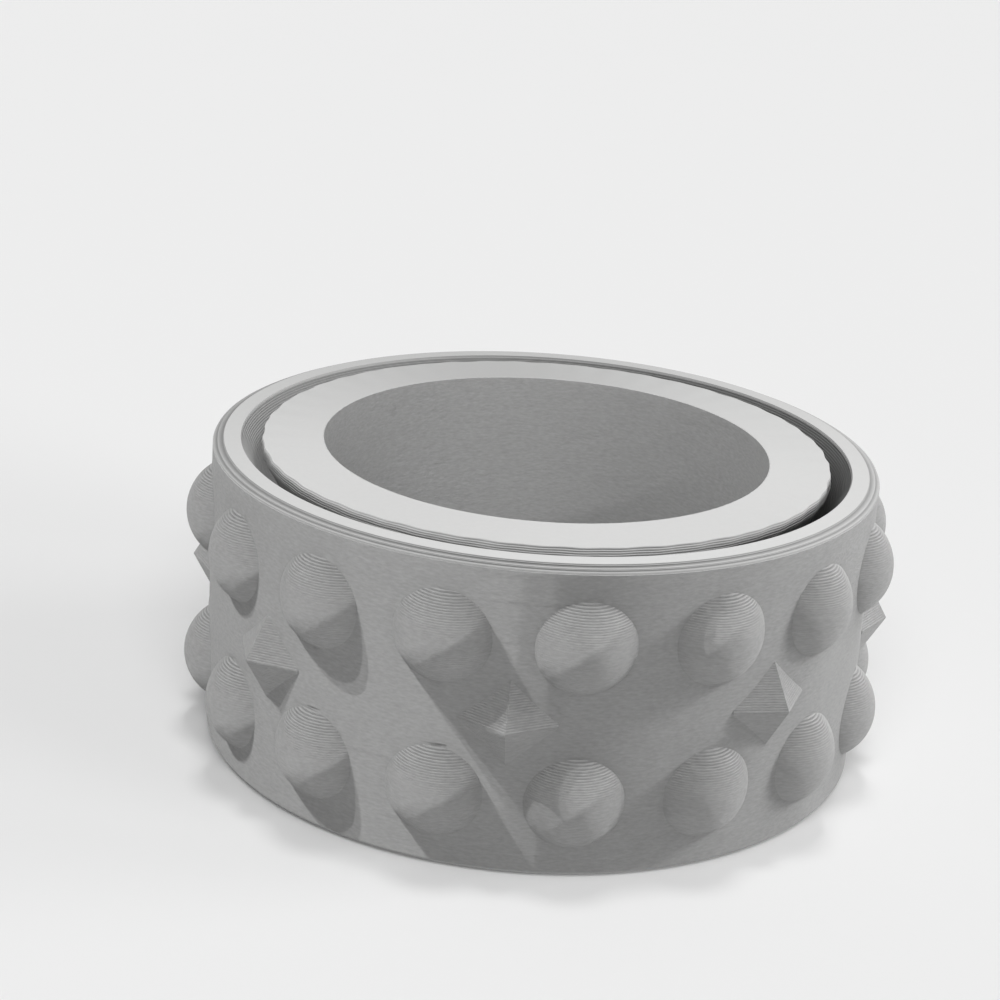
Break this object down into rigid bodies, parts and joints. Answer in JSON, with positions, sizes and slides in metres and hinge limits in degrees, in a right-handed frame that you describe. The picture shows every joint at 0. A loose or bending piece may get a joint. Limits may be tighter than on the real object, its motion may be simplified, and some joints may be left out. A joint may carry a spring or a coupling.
{
  "type": "spinner ring",
  "caption": "Finger ring with a studded outer band that turns freely on a plain inner ring, held by a tongue and groove.",
  "frame": {"origin": "centre of the flat side that the ring rests on, on the axis of the finger hole", "axes": "+Z along the axis of the finger hole, upwards as the ring lies; +X to the right in the picture; +Y away from the camera"},
  "size_m": [0.0336, 0.0336, 0.0144],
  "materials": {
    "inner_ring": "matt, layer printed",
    "spinner_band": "matt, layer printed"
  },
  "bodies": {
    "inner_ring": {"inner_ring": "inner_ring"},
    "spinner_band": {"spinner_band": "spinner_band"}
  },
  "joints": [
    {"name": "band_spin", "type": "hinge", "parent": "inner_ring", "child": "spinner_band", "pos_m": [0, 0, 0.0072], "axis": [0, 0, 1], "continuous": true}
  ]
}
